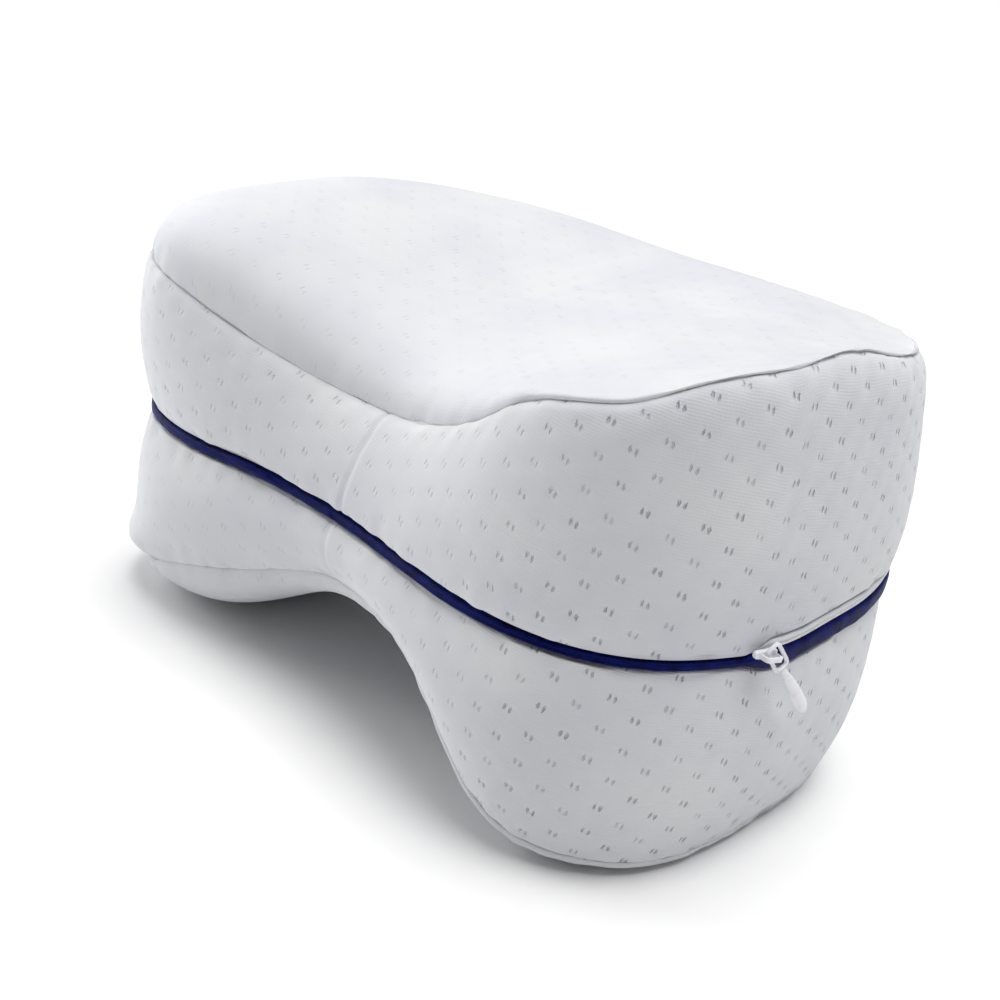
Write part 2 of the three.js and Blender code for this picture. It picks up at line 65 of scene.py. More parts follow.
def camera_axes(azimuth, elevation, roll):
    """Right, up and backward directions. Backward points from the object to the camera, right
    is level, and up is backward x right. The roll then turns right and up about backward."""
    backward = np.array([math.sin(azimuth) * math.cos(elevation),
                         -math.cos(azimuth) * math.cos(elevation),
                         math.sin(elevation)])
    level = np.array([math.cos(azimuth), math.sin(azimuth), 0])
    upright = np.cross(backward, level)
    right = level * math.cos(roll) + upright * math.sin(roll)
    up = upright * math.cos(roll) - level * math.sin(roll)
    return right, up, backward


camera_data = bpy.data.cameras.new("camera")
camera_data.sensor_width = SENSOR_WIDTH
camera_data.lens = FOCAL_LENGTH_IN_PIXELS / IMAGE_WIDTH * SENSOR_WIDTH
camera = bpy.data.objects.new("camera", camera_data)
bpy.context.scene.collection.objects.link(camera)
axes = np.stack(camera_axes(CAMERA_AZIMUTH, CAMERA_ELEVATION, CAMERA_ROLL), axis=1)
camera.matrix_world = Matrix.Translation(CAMERA_PLACE) @ Matrix(axes.tolist()).to_4x4()
bpy.context.scene.camera = camera
print("lens in mm", round(camera_data.lens, 1))

# %% [markdown]
# Seen from above, the cover is a rounded rectangle that is drawn in at the front. A
# superellipse gives the rounded rectangle with one power for its corners, and a bell curve
# pushes the front side in. Every seam of the cover is such an outline, with its own inset.

# %% Outline seen from above
HALF_LENGTH = 125 * MM
HALF_WIDTH = 87 * MM
FAR_CORNER = 3.8            # the far end is squarer than the end with the zip slider
NEAR_CORNER = 3.0
WAIST = 14.5 * MM
WAIST_REACH = 66 * MM
FRONT_FADE = 25 * MM
PLAN_CENTRE = np.array([0.0, -4.49 * MM])   # the frame's origin is the middle of the box


def bell(x, reach):
    """1 in the middle and falling off on both sides: e to the minus (x / reach) squared."""
    return np.exp(-((x / reach) ** 2))


def smooth(start, end, x):
    """0 before start, 1 after end, and 3 t^2 - 2 t^3 between them."""
    t = np.clip((x - start) / (end - start), 0, 1)
    return t * t * (3 - 2 * t)


def signed_power(value, power):
    """The value's size to a power, with the value's own sign."""
    return np.sign(value) * np.abs(value) ** power


def outline(angle, inset=0.0, inset_slope=0.0, waist=WAIST, reach=WAIST_REACH, shear=0.0):
    """Superellipse: x is the half length times cos to the power 2/n, and y the half width times
    sin to the same power, both less an inset that grows along x. The front half, picked by a
    tanh of y, is then moved back by the waist times a bell of x, and y is sheared by x."""
    c = np.cos(angle)
    s = np.sin(angle)
    power = 2 / np.where(c < 0, FAR_CORNER, NEAR_CORNER)
    ex = signed_power(c, power)
    ey = signed_power(s, power)
    gap = inset + inset_slope * ex
    x = (HALF_LENGTH - gap) * ex
    y = (HALF_WIDTH - gap) * ey
    front = 0.5 * (1 - np.tanh(y / FRONT_FADE))
    return np.stack([x, y + front * waist * bell(x, reach) + shear * x / HALF_LENGTH], axis=-1)


# %% [markdown]
# Every mesh of the cover has one column of faces for each small step round the pillow. Equal
# angles would crowd the columns on the long sides and starve the corners, so the columns stand
# at equal lengths along the piping instead, and the cloth's pattern can be measured by them.

# %% Evenly spaced columns round the pillow
COLUMNS = 720
DENSE = 11520


def even_angles(count):
    """Angles at equal steps of length along the binding, from the front middle towards the zip:
    the running length of a dense outline, read backwards by interpolation."""
    dense = 1.5 * np.pi + np.linspace(0, 2 * np.pi, DENSE + 1)
    steps = np.linalg.norm(np.diff(outline(dense), axis=0), axis=1)
    length = np.concatenate([[0], np.cumsum(steps)])
    return np.interp(np.arange(count) / count * length[-1], length, dense), length[-1]


angles, PERIMETER = even_angles(COLUMNS)
along = np.arange(COLUMNS) / COLUMNS * PERIMETER
binding_line = outline(angles)
tangent = np.roll(binding_line, -1, axis=0) - np.roll(binding_line, 1, axis=0)
tangent /= np.linalg.norm(tangent, axis=1, keepdims=True)
outward = np.stack([tangent[:, 1], -tangent[:, 0]], axis=1)
print("length of the binding in mm", round(PERIMETER / MM))

# %% [markdown]
# The heights come next. The upper seam rises towards the zip and dips at the front into a
# saddle for the upper leg. The lower seam follows an arch for the lower leg. Both panels
# swell up from their seams to a crown, steep at the rim and nearly flat in the middle.

# %% Heights of the seams and of the two swelling panels
TOP_SEAM = 134.5 * MM
TOP_SEAM_RISE = 14.5 * MM
TOP_TILT = -5 * MM
SADDLE = 42 * MM
SADDLE_REACH = 76 * MM
SADDLE_CENTRE = 7 * MM
CROWN = 16 * MM
CROWN_SLOPE = -13 * MM
FAR_DOME = 3.8 * MM
FAR_DOME_PLACE = (-105 * MM, 15 * MM)
FAR_DOME_REACH = 38 * MM
NEAR_FLATNESS = 3.6 * MM
NEAR_FLAT_FROM = (40 * MM, 95 * MM)
RIM_POWER = 6
PANEL_LIP = 0.8 * MM
ARCH = 39.5 * MM
ARCH_AT_BACK = 0.75
ARCH_CENTRE = 6 * MM
ARCH_REACH_FAR = 60.5 * MM
ARCH_REACH_NEAR = 62.5 * MM
ARCH_POWER_FAR = 2.35
ARCH_POWER_NEAR = 3.7        # the zip lobe's side of the arch is steeper
SOLE_ROUNDING = 11.3 * MM
SOLE_SLOPE = -3.7 * MM
SOLE_BUMPS = ((-70, 29, 7.0), (97, 20, 1.8))   # lobes that swell down further from their seam
SOLE_CUT = 3.5 * MM


def bumps(x, rows):
    """Sum of bells of x, one for each row of place, reach and height in mm."""
    return sum(height * MM * bell(x - place * MM, reach * MM) for place, reach, height in rows)


def front_share(y):
    """1 at the front edge, 0 at the back edge, straight between them."""
    return np.clip((HALF_WIDTH - y) / (2 * HALF_WIDTH), 0, 1)


def top_seam_height(x, y):
    """A plane that rises with x and falls with y, less the saddle: a bell of x that fades back."""
    plane = TOP_SEAM + TOP_SEAM_RISE * x / HALF_LENGTH + TOP_TILT * y / HALF_WIDTH
    return plane - SADDLE * bell(x - SADDLE_CENTRE, SADDLE_REACH) * front_share(y)


def arch_height(x, y):
    """A flat-topped bell of x, e to the minus |x/reach| to a power, which is lower at the back.
    The reach and the power differ on the two sides of the arch."""
    reach = np.where(x < ARCH_CENTRE, ARCH_REACH_FAR, ARCH_REACH_NEAR)
    power = np.where(x < ARCH_CENTRE, ARCH_POWER_FAR, ARCH_POWER_NEAR)
    profile = np.exp(-(np.abs((x - ARCH_CENTRE) / reach) ** power))
    return ARCH * (ARCH_AT_BACK + (1 - ARCH_AT_BACK) * front_share(y)) * profile


def sole_rounding(x):
    """Height of the lower seam over the sole: it changes evenly with x, and has a bell of x at
    each lobe."""
    return SOLE_ROUNDING + SOLE_SLOPE * x / HALF_LENGTH + bumps(x, SOLE_BUMPS)


def low_seam_height(x, y):
    """The arch, the rounding over it, and the part that the table presses flat taken away."""
    return arch_height(x, y) + sole_rounding(x) - SOLE_CUT


def crown_height(x, y):
    """Rise of the top panel over its seam. It falls evenly towards the zip, is flatter still at
    the zip end, and has a dome at the far end."""
    even = CROWN + CROWN_SLOPE * x / HALF_LENGTH - NEAR_FLATNESS * smooth(*NEAR_FLAT_FROM, x)
    dome = bell(x - FAR_DOME_PLACE[0], FAR_DOME_REACH) * bell(y - FAR_DOME_PLACE[1], FAR_DOME_REACH)
    return even + FAR_DOME * dome


def rim(ratio):
    """1 in the middle of a panel and 0 at its edge: the root of 1 minus ratio to the sixth."""
    return np.sqrt(np.clip(1 - ratio ** RIM_POWER, 0, 1))


# %% [markdown]
# A pattern maker cuts each panel to its own edge. Here an edge is the same outline with an
# inset of its own, so neighbouring panels always meet. Between the two bands lies the channel
# of the piping, which is wider where the zip runs.

# %% Edges of the four panels
TOP_EDGE = dict(inset=1 * MM, inset_slope=5.5 * MM, waist=25 * MM, reach=68 * MM)
LOW_EDGE = dict(inset=-0.1 * MM, inset_slope=3.8 * MM, waist=19.5 * MM, reach=61.5 * MM,
                shear=-3.8 * MM)
BINDING_HEIGHT = 70 * MM
BINDING_HALF_WIDE = 1.95 * MM
BINDING_HALF_SLIM = 1.25 * MM
BINDING_DEPTH = 1.9 * MM
CHANNEL_DEPTH = 2.6 * MM
CLEARANCE = 0.1 * MM
FLAP_HALF = 3 * MM
ZIP_SPACE = 3.2 * MM
ZIP_BEGINS = (146 * MM, 158 * MM)     # the slot opens between these lengths along the binding
ZIP_ENDS = (452.5 * MM, 471.5 * MM)
SLIM_BEGINS = (45 * MM, 98 * MM)
SLIM_ENDS = (498 * MM, 543 * MM)


def zip_share(s):
    """1 where the zip runs, 0 elsewhere, with a smooth change at its two ends."""
    return smooth(*ZIP_BEGINS, s) * (1 - smooth(*ZIP_ENDS, s))


def blue_half(s):
    """Half the height of the blue strip: wide at the far end, slim on the front of the zip
    lobe, and a flap of its own width where the zip runs."""
    slim = smooth(*SLIM_BEGINS, s) * (1 - smooth(*SLIM_ENDS, s))
    plain = BINDING_HALF_WIDE + (BINDING_HALF_SLIM - BINDING_HALF_WIDE) * slim
    return plain + (FLAP_HALF - plain) * zip_share(s)


BINDING_BUMPS = ((165, 20, -2.6), (-38, 25, 1.3))     # place along it, reach and height in mm
BINDING_RISE = 1.7 * MM
BINDING_RISE_RUNS = (195 * MM, 225 * MM, 300 * MM, 340 * MM)
SEAM_BUMPS = ((-15, 30, 0.9), (69, 14, 3.3), (102, 13, -2.4), (133, 16, 1.5), (172, 24, 5.2))
WAVE_POWER = 7               # how fast the seam's wave dies away inwards


def signed_along():
    """Length along the piping from the front middle, negative towards the far end."""
    return np.where(along > PERIMETER / 2, along - PERIMETER, along)


def seam_wave(s):
    """How far the upper seam lies above or below its even line."""
    return bumps(s, SEAM_BUMPS)


def binding_height(s):
    """Height of the piping's middle line, which sags at the slider and rises round the corner."""
    start, full, fade, end = BINDING_RISE_RUNS
    rise = smooth(start, full, s) * (1 - smooth(fade, end, s))
    return BINDING_HEIGHT + bumps(s, BINDING_BUMPS) + BINDING_RISE * rise


middle_height = binding_height(signed_along())
channel_below = blue_half(along) + CLEARANCE
channel_above = channel_below + ZIP_SPACE * zip_share(along)
top_edge = outline(angles, **TOP_EDGE)
low_edge = outline(angles, **LOW_EDGE)
print("upper seam from", round(top_seam_height(*top_edge.T).min() / MM), "to",
      round(top_seam_height(*top_edge.T).max() / MM), "mm high")

# %% [markdown]
# Cloth is never as even as a formula. A few long cosine waves in space give the slight swell
# and hollow of foam under knit cloth. Near a seam the thread draws the cloth up in small
# puckers, which fade away within a centimetre.

# %% Unevenness of stuffed cloth
SWELL_HEIGHT = 0.45 * MM
SWELL_LENGTHS = (38 * MM, 95 * MM)
PUCKER_HEIGHT = 0.22 * MM
PUCKER_LENGTHS = (7 * MM, 17 * MM)
PUCKER_REACH = 7 * MM
SWELL_WAVES = 14
PUCKER_WAVES = 16


def waves(points, lengths, count, seed):
    """Sum of cosine waves with random directions, phases and lengths, brought to about -1..1."""
    draw = np.random.default_rng(seed)
    directions = draw.normal(size=(count, points.shape[-1]))
    directions /= np.linalg.norm(directions, axis=1, keepdims=True)
    wavelength = draw.uniform(*lengths, count)
    phase = draw.uniform(0, 2 * np.pi, count)
    turns = points @ (directions / wavelength[:, None]).T
    return np.cos(2 * np.pi * turns + phase).sum(axis=-1) / math.sqrt(count)


def roll(distance, radius):
    """Quarter circle at a seam: 1 at the seam and 0 one radius away, 1 - sqrt(1 - (1 - d/r)^2)."""
    t = np.clip(1 - distance / radius, 0, 1)
    return 1 - np.sqrt(1 - t * t)


# %% [markdown]
# The jacquard figure is a pair of short dashes where the two faces of the double knit are tied
# together. The pairs stand in columns, and each column is half a step higher than the last. The
# cloth was cut a little aslant, so the whole lattice is turned. Each tie draws the cloth in, so
# it is a small dimple in the mesh. The dashes themselves are finer than the mesh, and the
# material draws them on the same lattice.

# %% Lattice of the jacquard ties
TIE_COLUMN = 7.8 * MM        # from one column of ties to the next
TIE_STEP = 9.3 * MM          # from one tie to the next in its column
TIE_TURN = math.radians(-9)
TIE_DIMPLE = 0.3 * MM
TIE_REACH = 2.1 * MM


def tie_dimples(uv):
    """A bell-shaped dimple at each tie. Turned uv counts columns across and steps up, less half
    a step a column. What is left over from whole numbers, made back into lengths, is the
    distance from the nearest tie."""
    c, s = math.cos(TIE_TURN), math.sin(TIE_TURN)
    column = uv @ np.array([c, s]) / TIE_COLUMN
    step = uv @ np.array([-s, c]) / TIE_STEP - column / 2
    column, step = column - np.round(column), step - np.round(step)
    return bell(np.hypot(column * TIE_COLUMN, (step + column / 2) * TIE_STEP), TIE_REACH)


def grid_normals(rings):
    """Outward direction at each grid point: the cross product of the step round the pillow and
    the step up the rows."""
    across = np.roll(rings, -1, axis=1) - np.roll(rings, 1, axis=1)
    upward = np.gradient(rings, axis=0)
    normal = np.cross(across, upward)
    return normal / np.maximum(np.linalg.norm(normal, axis=-1, keepdims=True), 1e-12)


# %% [markdown]
# A padded shape can be modelled by hand, blown up by a simulation or worked out as an array of
# points. The array is chosen because every seam then lies where the photograph has it. A ring
# of points runs round the pillow at each height, and quads join each ring to the next.

# %% Mesh from rings
def signed_volume(points, faces):
    """Six-fold volume of a closed mesh, positive where its faces point outwards."""
    a, b, c = (points[faces[:, k]] for k in range(3))
    return np.einsum("ij,ij->i", a, np.cross(b, c)).sum()


def new_piece(name, points, quads, triangles, quad_uv=None, triangle_uv=None):
    """A mesh object from arrays, turned right side out, with an optional uv for each corner."""
    test = np.concatenate([quads[:, :3], quads[:, [0, 2, 3]], triangles])
    if signed_volume(points, test) < 0:
        quads, triangles = quads[:, ::-1], triangles[:, ::-1]
        if quad_uv is not None:
            quad_uv, triangle_uv = quad_uv[:, ::-1], triangle_uv[:, ::-1]
    mesh = bpy.data.meshes.new(name)
    mesh.from_pydata(points.tolist(), [], quads.tolist() + triangles.tolist())
    if quad_uv is not None:
        layer = mesh.uv_layers.new(name="cloth")
        corners = np.concatenate([quad_uv.reshape(-1, 2), triangle_uv.reshape(-1, 2)])
        layer.data.foreach_set("uv", corners.astype(np.float32).ravel())
    mesh.polygons.foreach_set("use_smooth", np.ones(len(mesh.polygons), dtype=bool))
    mesh.update()
    piece = bpy.data.objects.new(name, mesh)
    bpy.context.scene.collection.objects.link(piece)
    print(name, len(quads) * 2 + len(triangles), "triangles")
    return piece


def ring_quads(rows, columns):
    """Corner numbers of the quads between each pair of rings, closed round the ring."""
    row, column = np.meshgrid(np.arange(rows - 1), np.arange(columns), indexing="ij")
    after = (column + 1) % columns
    corners = [row * columns + column, row * columns + after,
               (row + 1) * columns + after, (row + 1) * columns + column]
    return np.stack(corners, axis=-1).reshape(-1, 4)


def pole_fans(rows, columns):
    """Corner numbers of the triangles that close the first and the last ring, each round a pole
    whose point comes after the rings'."""
    here = np.arange(columns)
    after = (here + 1) % columns
    last = (rows - 1) * columns
    pole = np.full(columns, rows * columns)
    return np.concatenate([np.stack([pole, after, here], axis=1),
                           np.stack([pole + 1, last + here, last + after], axis=1)])


def padded_body(name, rings, start, end, uv, shift):
    """A closed body from rings that run round it and a pole at each end. uv holds, for each
    strip of faces between two rings, the uv of its lower and upper ring, one column more than
    the ring has, so that the pattern doesn't run backwards where the ring closes. shift moves
    the pattern of single faces."""
    rows, columns = rings.shape[:2]
    points = np.concatenate([rings.reshape(-1, 3), [start, end]])
    quads = ring_quads(rows, columns)
    low, high = uv[:, 0], uv[:, 1]
    quad_uv = np.stack([low[:, :-1], low[:, 1:], high[:, 1:], high[:, :-1]], axis=2)
    quad_uv = (quad_uv + shift[:, :, None]).reshape(-1, 4, 2)
    caps = pole_fans(rows, columns)
    return new_piece(name, points, quads, caps, quad_uv, points[caps][..., :2])


# %% [markdown]
# The cover is built as two padded bodies, one above the piping and one below it, which meet out
# of sight in the bottom of the channel. Each is a stack of rings: a band panel that bulges
# between its two seams, a valley where the thread holds the cloth down, and a panel that swells
# to its crown. The rings are closer together where the surface turns fast.

# %% Rows of the band panels
BAND_ROWS = 72
VALLEY_ROWS = 4
PANEL_ROWS = 58
PANEL_RADIUS = 100 * MM      # a middling radius, by which a panel's rows are spread
RATIO_STEPS = 4001
ROW_CROWDING = 0.6           # how much closer the rows lie at the seams than midway
UPPER_BULGE = 4.3 * MM
UPPER_FULLNESS = 0.6         # below 1 the band is fuller near its seams
LOWER_BULGE = 5.6 * MM
LOWER_BULGE_AT_ENDS = 4.1 * MM
END_FROM = (75 * MM, 112 * MM)
LIP_RADIUS = 1.1 * MM
SEAM_RADIUS = 2.6 * MM
SEAM_DEPTH = 0.95 * MM
SEAM_SHALLOW = 0.25 * MM     # on the waist the cloth is pulled nearly flat over the seam
SEAM_SHALLOW_RUN = (-15 * MM, 2 * MM, 58 * MM, 76 * MM)
NEAR_FLARE = 1.3 * MM        # the zip end's upper corner is fuller
FLARE_POWER = 9
FLARE_CREST = 0.0387         # the greatest value of t^9 (1 - t)


def seam_depths(edge_height):
    """Depth of the valley at each column of an edge: shallow below the piping, where the cloth
    is stretched over the foot, and on the waist, with smooth changes at the waist's two ends."""
    start, full, fade, end = SEAM_SHALLOW_RUN
    s = signed_along()
    share = smooth(start, full, s) * (1 - smooth(fade, end, s))
    share = np.where(edge_height < BINDING_HEIGHT, 1, share)
    return (SEAM_DEPTH + (SEAM_SHALLOW - SEAM_DEPTH) * share)[:, None]


def crowded(count):
    """Steps from 0 to 1 that are finer at both ends: t - k sin(2 pi t) / (2 pi)."""
    t = np.linspace(0, 1, count)
    return t - ROW_CROWDING * np.sin(2 * np.pi * t) / (2 * np.pi)


def band_rings(lip_height, edge, edge_height, bulge, fullness=1.0, flare=0.0):
    """Rings from the binding's channel to a seam. Each column is the straight line between the
    two, pushed outwards by bulge * (4t(1 - t))^fullness, and by the flare times t^9 (1 - t)
    over its crest, which is greatest near the seam. Quarter circles roll in both ends."""
    t = crowded(BAND_ROWS)[:, None, None]
    lip = np.column_stack([binding_line, np.broadcast_to(lip_height, COLUMNS)])
    high = np.column_stack([edge, edge_height])
    length = np.linalg.norm(high - lip, axis=1)[None, :, None]
    straight = lip * (1 - t) + high * t
    bulge, flare = (np.reshape(value, (-1, 1)) for value in (bulge, flare))
    push = bulge * (4 * t * (1 - t)) ** fullness + flare * t ** FLARE_POWER * (1 - t) / FLARE_CREST
    push = push - CHANNEL_DEPTH * roll(t * length, LIP_RADIUS)
    push = push - seam_depths(edge_height) * roll((1 - t) * length, SEAM_RADIUS)
    return straight + push * np.column_stack([outward, np.zeros(COLUMNS)])


def even_ratios(count, radius, crown):
    """Ratios from 1 at a panel's edge to nearly 0 in its middle, at equal steps of length along
    the profile crown * rim(ratio), read backwards by interpolation."""
    ratio = np.linspace(1, 0, RATIO_STEPS)
    profile = np.column_stack([ratio * radius, crown * rim(ratio)])
    length = np.concatenate([[0], np.cumsum(np.linalg.norm(np.diff(profile, axis=0), axis=1))])
    return np.interp(np.linspace(0, 1, count + 1)[:-1] * length[-1], length, ratio)


# %% [markdown]
# The upper body has a tall band, the valley where the thread pulls, and the top panel. On the
# real pillow the panel is flat cloth that foam pushes up, steep at the rim and nearly flat in
# the middle, so here its height is a crown times a rounded rim.

# %% Upper body: upper band, seam valley and top panel
def top_panel_rings(ratios):
    """The panel's edge drawn in by each ratio, at the seam's height plus lip and crown * rim.
    The seam's wave dies away inwards with a power of the ratio."""
    xy = top_edge * ratios[:, None, None]
    x, y = xy[..., 0], xy[..., 1]
    crown = crown_height(x, y) - PANEL_LIP
    wave = seam_wave(signed_along()) * ratios[:, None] ** WAVE_POWER
    z = top_seam_height(x, y) + wave + PANEL_LIP + crown * rim(ratios)[:, None]
    return np.concatenate([xy, z[..., None]], axis=-1)


def valley_rings(edge, edge_height, lip_height):
    """Quarter circle from the bottom of the seam's valley out to the panel's lip."""
    turn = np.linspace(0, np.pi / 2, VALLEY_ROWS + 2)[1:-1, None, None]
    inwards = np.column_stack([-outward, np.zeros(COLUMNS)])
    start = np.column_stack([edge, edge_height])
    rise = np.array([0, 0, 1]) * lip_height
    inwards = inwards * seam_depths(edge_height)
    return start + inwards * (1 - np.sin(turn)) + rise * (1 - np.cos(turn))


def level_ring(height):
    """The ring in the bottom of the channel at the binding's height, where the bodies meet."""
    return np.column_stack([binding_line - outward * CHANNEL_DEPTH, height])[None]


seam_height = top_seam_height(*top_edge.T) + seam_wave(signed_along())
near_flare = NEAR_FLARE * smooth(*END_FROM, top_edge[:, 0])
upper_band = band_rings(middle_height + channel_above, top_edge, seam_height, UPPER_BULGE,
                        UPPER_FULLNESS, near_flare)
upper_valley = valley_rings(top_edge, seam_height, PANEL_LIP)
top_panel = top_panel_rings(even_ratios(PANEL_ROWS, PANEL_RADIUS, CROWN))
print("upper body rows", len(upper_band), len(upper_valley), len(top_panel))

# %% [markdown]
# The lower body is built the same way, upside down. Its edge follows the arch for the leg, and
# the table presses the lobes flat, which a smooth blend of the height to zero gives.

# %% Lower body: bottom panel, seam valley and lower band
FLOOR_BLEND = 1.2 * MM
FAR_FLARE = 5.8 * MM         # the far lobe's foot stands out over its sole
FAR_FLARE_FROM = (-70 * MM, -116 * MM)


def pressed_flat(z):
    """The table's effect: z above the blend, 0 below it, (z + w)^2 / 4w between them."""
    w = FLOOR_BLEND
    return np.where(z > w, z, np.where(z < -w, 0, (z + w) ** 2 / (4 * w)))


def sole_rings(ratios):
    """The lower seam's edge drawn in by each ratio, at the seam's height less lip and rim."""
    xy = low_edge * ratios[:, None, None]
    x, y = xy[..., 0], xy[..., 1]
    swell = PANEL_LIP + (sole_rounding(x) - PANEL_LIP) * rim(ratios)[:, None]
    return np.concatenate([xy, pressed_flat(low_seam_height(x, y) - swell)[..., None]], axis=-1)


low_height = low_seam_height(*low_edge.T)
far_flare = FAR_FLARE * smooth(*FAR_FLARE_FROM, low_edge[:, 0])
end_share = smooth(*END_FROM, np.abs(low_edge[:, 0]))
lower_bulge = LOWER_BULGE + (LOWER_BULGE_AT_ENDS - LOWER_BULGE) * end_share
lower_band = band_rings(middle_height - channel_below, low_edge, low_height, lower_bulge,
                        flare=far_flare)
lower_valley = valley_rings(low_edge, low_height, -PANEL_LIP)
sole_panel = sole_rings(even_ratios(PANEL_ROWS, PANEL_RADIUS, SOLE_ROUNDING))

# %% [markdown]
# Each panel was cut from flat cloth, so each gets a flat pattern of its own. On a band the
# pattern's first coordinate is the length along the piping, and its second the length up or
# down from it. On the top and bottom panels the pattern spreads out from the middle, by the
# length along the surface. Two short upright seams, front and back, join the band's pieces.

# %% Flat patterns of the panels
FRONT_SEAM = {"upper_cover": (3.5 * MM, 3 * MM), "lower_cover": (-0.5 * MM, 2.5 * MM)}
SEAM_GROOVE = 0.55 * MM
SEAM_GROOVE_REACH = 0.9 * MM
SEAM_RIDGE = 0.12            # the near piece's turned edge stands up beside the groove
SEAM_RIDGE_AT = 2.2 * MM
TIE_AT = {"upper_cover": ((82.1 * MM, 66.9 * MM), (-64.3 * MM, 56 * MM)),
          "lower_cover": ((85.5 * MM, -20.9 * MM), (-60 * MM, -20 * MM))}


def band_uv(rings):
    """Length along the piping, and running length of each column away from it."""
    steps = np.linalg.norm(np.diff(rings, axis=0), axis=-1)
    up = np.concatenate([np.zeros((1, COLUMNS)), np.cumsum(steps, axis=0)])
    return np.stack([np.broadcast_to(along, up.shape), up], axis=-1)


def panel_uv(rings):
    """Direction from the middle times the running length along the surface from the middle."""
    steps = np.linalg.norm(np.diff(rings, axis=0), axis=-1)
    inner = np.linalg.norm(rings[-1, :, :2], axis=-1)
    out = inner + np.concatenate([np.cumsum(steps[::-1], axis=0)[::-1], np.zeros((1, COLUMNS))])
    direction = rings[..., :2] / np.linalg.norm(rings[..., :2], axis=-1, keepdims=True)
    return direction * out[..., None]


def past_front_seam(name, share_up):
    """Length along from the front upright seam, which starts at the piping and leans."""
    start, lean = FRONT_SEAM[name]
    return signed_along() - start - lean * share_up


def upright_seams(front):
    """A groove along each of the two upright seams: a bell of the distance from its line. The
    front one has a low ridge beside it."""
    back = PERIMETER / 2 - np.abs(signed_along())
    ridge = SEAM_RIDGE * bell(front - SEAM_RIDGE_AT, 2 * SEAM_GROOVE_REACH)
    return bell(front, SEAM_GROOVE_REACH) - ridge + bell(back, SEAM_GROOVE_REACH)


# %% [markdown]
# The smooth shape now gets what makes it cloth. Sculpting could do it, or a displacement
# texture. Here each grid point moves along its own outward direction by the sum of the swell,
# the puckers, the ties and the seams, so that all of it is real shape in the mesh.

# %% Finish a body: unevenness, puckers, ties and upright seams
UPPER_SEED = 11
LOWER_SEED = 23
HELD_ROWS = 4                # rows in the channel that stay where the two bodies meet
PANEL_FIGURE = 0.22          # the ties pull less on the panels, where the cloth lies flat
FAR_FIGURE = {"upper_cover": 0.5, "lower_cover": 0.3}
WAIST_FIGURE = 0.4           # and less on the waist, where it is stretched
WAIST_FADES = (58 * MM, 92 * MM)


def dressed(rings, ties, grooves, near_seam, side, seed):
    """Moves each grid point along its outward direction by swell, puckers, dimples and
    grooves. side is 1 where the rings run upwards and -1 where they run downwards."""
    move = SWELL_HEIGHT * waves(rings, SWELL_LENGTHS, SWELL_WAVES, seed)
    puckers = waves(rings[..., :2], PUCKER_LENGTHS, PUCKER_WAVES, seed + 1)
    move = move + PUCKER_HEIGHT * near_seam * puckers
    move = move - TIE_DIMPLE * ties - SEAM_GROOVE * grooves
    move[:HELD_ROWS] = 0
    return rings + side * grid_normals(rings) * move[..., None]


def near_ring(rings, ring):
    """1 at a seam and 0 far from it: a bell of the height above or below the seam's ring."""
    return bell(rings[..., 2] - ring[:, 2], PUCKER_REACH)


def strips_between(pattern, closing):
    """uv of the lower and upper ring of each strip, with a last column that carries on."""
    whole = np.concatenate([pattern, pattern[:, :1] + closing], axis=1)
    return np.stack([whole[:-1], whole[1:]], axis=1)


def figure_strength(name, front, rows):
    """How strongly each grid point shows the ties: the band's two pieces, then the panel."""
    waist = WAIST_FIGURE + (1 - WAIST_FIGURE) * smooth(*WAIST_FADES, signed_along())
    strength = np.full((rows, COLUMNS), PANEL_FIGURE)
    strength[1:BAND_ROWS + 1] = np.where(front < 0, FAR_FIGURE[name], waist)
    strength[0] = strength[1]
    return strength


def cover_body(name, band, valley, panel, side, seed):
    """Joins the channel's ring, band, valley and panel into one closed padded body."""
    rings = np.concatenate([level_ring(middle_height), band, valley, panel])
    front = past_front_seam(name, crowded(BAND_ROWS)[:, None])
    near_tie, far_tie = np.array(TIE_AT[name])
    band_shift = np.where(front[..., None] < 0, -far_tie, -near_tie)
    band_shift[..., 0] += signed_along() - along
    band_pattern = band_uv(band) * [1, side]
    panel_pattern = panel_uv(np.concatenate([valley, panel]))
    strength = figure_strength(name, front, len(rings))
    ties = np.zeros(rings.shape[:2])
    ties[1:BAND_ROWS + 1] = tie_dimples(band_pattern + band_shift)
    ties[BAND_ROWS + 1:] = tie_dimples(panel_pattern)
    ties *= strength
    grooves = np.zeros(rings.shape[:2])
    grooves[1:BAND_ROWS + 1] = upright_seams(front)
    near_seam = near_ring(rings, band[-1]) + near_ring(rings, band[0])
    shape = dressed(rings, ties, grooves, near_seam, side, seed) + np.append(PLAN_CENTRE, 0)
    shape[..., 2] = np.maximum(shape[..., 2], 0)
    band_strips = strips_between(np.concatenate([band_pattern[:1], band_pattern]), [PERIMETER, 0])
    panel_strips = strips_between(np.concatenate([panel_pattern[:1], panel_pattern]), [0, 0])
    shift = np.zeros((len(rings) - 1, COLUMNS, 2))
    shift[:BAND_ROWS] = band_shift
    start = np.append(PLAN_CENTRE, BINDING_HEIGHT)
    end = shape[-1].mean(axis=0)
    body = padded_body(name, shape, start, end, np.concatenate([band_strips, panel_strips]), shift)
    layer = body.data.attributes.new("figure", "FLOAT", "POINT")
    values = np.append(strength, [0, PANEL_FIGURE])
    layer.data.foreach_set("value", values.astype(np.float32))
    return body


upper_cover = cover_body("upper_cover", upper_band, upper_valley, top_panel, 1, UPPER_SEED)
lower_cover = cover_body("lower_cover", lower_band, lower_valley, sole_panel, -1, LOWER_SEED)

